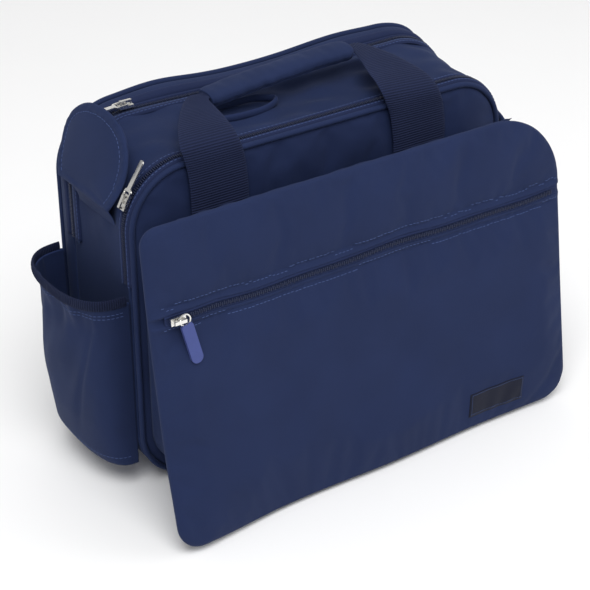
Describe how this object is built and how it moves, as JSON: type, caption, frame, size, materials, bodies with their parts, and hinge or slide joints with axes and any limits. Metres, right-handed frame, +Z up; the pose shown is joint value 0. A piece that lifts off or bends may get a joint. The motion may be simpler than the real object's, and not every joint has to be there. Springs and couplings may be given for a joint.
{
  "type": "diaper bag",
  "caption": "Soft padded navy diaper bag: zipped compartments, hanging zipped front flap, end bottle pockets with cover flaps and carry handles.",
  "frame": {"origin": "centre of the base, on the surface the bag stands on, midway between the front and rear panels", "axes": "+Z up, +X to the bag's right-hand end seen from the front, +Y to the back, so the hanging flap faces -Y"},
  "size_m": [0.4946, 0.2457, 0.3443],
  "materials": {
    "outer_fabric": "satin weave",
    "piping": "satin weave",
    "webbing": "ribbed, matte",
    "lining": "plain weave",
    "woven_label": "satin",
    "zip_coil": "satin",
    "zip_metal": "polished",
    "pull_rubber": "soft matte",
    "stiffener_board": "matte"
  },
  "bodies": {
    "bag_body": {"gusset_shell": "outer_fabric", "base_board": "stiffener_board", "front_panel": "outer_fabric", "front_piping": "piping", "rear_lower_panel": "outer_fabric", "rear_lower_piping": "piping", "divider_panel": "lining", "inner_slip_pocket": "lining", "front_zip_tape": "outer_fabric", "front_zip_coil": "zip_coil", "rear_zip_tape": "outer_fabric", "rear_zip_coil": "zip_coil", "left_pocket": "outer_fabric", "left_pocket_binding": "webbing", "left_cover_seam_tape": "webbing", "right_pocket": "outer_fabric", "right_pocket_binding": "webbing", "right_cover_seam_tape": "webbing", "front_pocket": "outer_fabric", "front_pocket_piping": "piping", "flap_root_panel": "outer_fabric", "front_strap_base_left": "webbing", "front_strap_base_right": "webbing", "loop_anchor_tab": "webbing", "hanging_loop": "outer_fabric"},
    "rear_lid": {"rear_lid_panel": "outer_fabric", "rear_lid_piping": "piping", "rear_lid_gusset": "outer_fabric", "rear_lid_zip_tape": "outer_fabric", "rear_strap_base_left": "webbing", "rear_strap_base_right": "webbing"},
    "front_zip_slider": {"front_zip_slider": "zip_metal"},
    "front_zip_puller": {"front_zip_puller": "zip_metal"},
    "rear_zip_slider": {"rear_zip_slider": "zip_metal"},
    "rear_zip_puller": {"rear_zip_puller": "zip_metal"},
    "front_handle": {"front_strap_left": "webbing", "front_strap_right": "webbing", "front_grip_core": "webbing", "front_grip_wrap": "outer_fabric"},
    "rear_handle": {"rear_strap_left": "webbing", "rear_strap_right": "webbing", "rear_grip_core": "webbing", "rear_grip_wrap": "outer_fabric"},
    "left_cover": {"left_pocket_cover": "outer_fabric"},
    "right_cover": {"right_pocket_cover": "outer_fabric"},
    "front_flap": {"front_flap": "outer_fabric", "flap_zip_tape": "outer_fabric", "flap_zip_coil": "zip_coil", "flap_label": "woven_label"},
    "flap_zip_slider": {"flap_zip_slider": "zip_metal"},
    "flap_zip_pull": {"flap_pull_ring": "zip_metal", "flap_pull_tab": "pull_rubber"}
  },
  "joints": [
    {"name": "rear_lid_hinge", "type": "hinge", "parent": "bag_body", "child": "rear_lid", "pos_m": [0, 0.066, 0.204], "axis": [-1, 0, 0], "range_deg": [0, 70]},
    {"name": "front_zip_corner_travel", "type": "hinge", "parent": "bag_body", "child": "front_zip_slider", "pos_m": [-0.145, -0.056, 0.25593], "axis": [0, 1, 0], "range_deg": [-26, 60]},
    {"name": "front_zip_puller_hinge", "type": "hinge", "parent": "front_zip_slider", "child": "front_zip_puller", "pos_m": [-0.20037, -0.056, 0.28537], "axis": [0, -1, 0], "range_deg": [0, 110]},
    {"name": "rear_zip_slide", "type": "slide", "parent": "bag_body", "child": "rear_zip_slider", "axis": [1, 0, 0], "range_m": [0, 0.296]},
    {"name": "rear_zip_puller_hinge", "type": "hinge", "parent": "rear_zip_slider", "child": "rear_zip_puller", "pos_m": [-0.144, 0.0352, 0.32715], "axis": [0, 1, 0], "range_deg": [0, 184]},
    {"name": "front_handle_hinge", "type": "hinge", "parent": "bag_body", "child": "front_handle", "pos_m": [0, -0.0686, 0.3077], "axis": [1, 0, 0], "range_deg": [0, 95]},
    {"name": "rear_handle_hinge", "type": "hinge", "parent": "rear_lid", "child": "rear_handle", "pos_m": [0, 0.0706, 0.319], "axis": [1, 0, 0], "range_deg": [0, 185]},
    {"name": "left_cover_hinge", "type": "hinge", "parent": "bag_body", "child": "left_cover", "pos_m": [-0.2093, 0, 0.272], "axis": [0, -1, 0], "range_deg": [0, 170]},
    {"name": "right_cover_hinge", "type": "hinge", "parent": "bag_body", "child": "right_cover", "pos_m": [0.2093, 0, 0.272], "axis": [0, -1, 0], "range_deg": [0, 160]},
    {"name": "front_flap_hinge", "type": "hinge", "parent": "bag_body", "child": "front_flap", "pos_m": [0, -0.11308, 0.29651], "axis": [-1, 0, 0], "range_deg": [0, 120]},
    {"name": "flap_zip_slide", "type": "slide", "parent": "front_flap", "child": "flap_zip_slider", "axis": [1, 0, 0], "range_m": [0, 0.404]},
    {"name": "flap_zip_pull_hinge", "type": "hinge", "parent": "flap_zip_slider", "child": "flap_zip_pull", "pos_m": [-0.1972, -0.14363, 0.2143], "axis": [0, -0.9943, 0.1068], "range_deg": [-37, 68]}
  ]
}
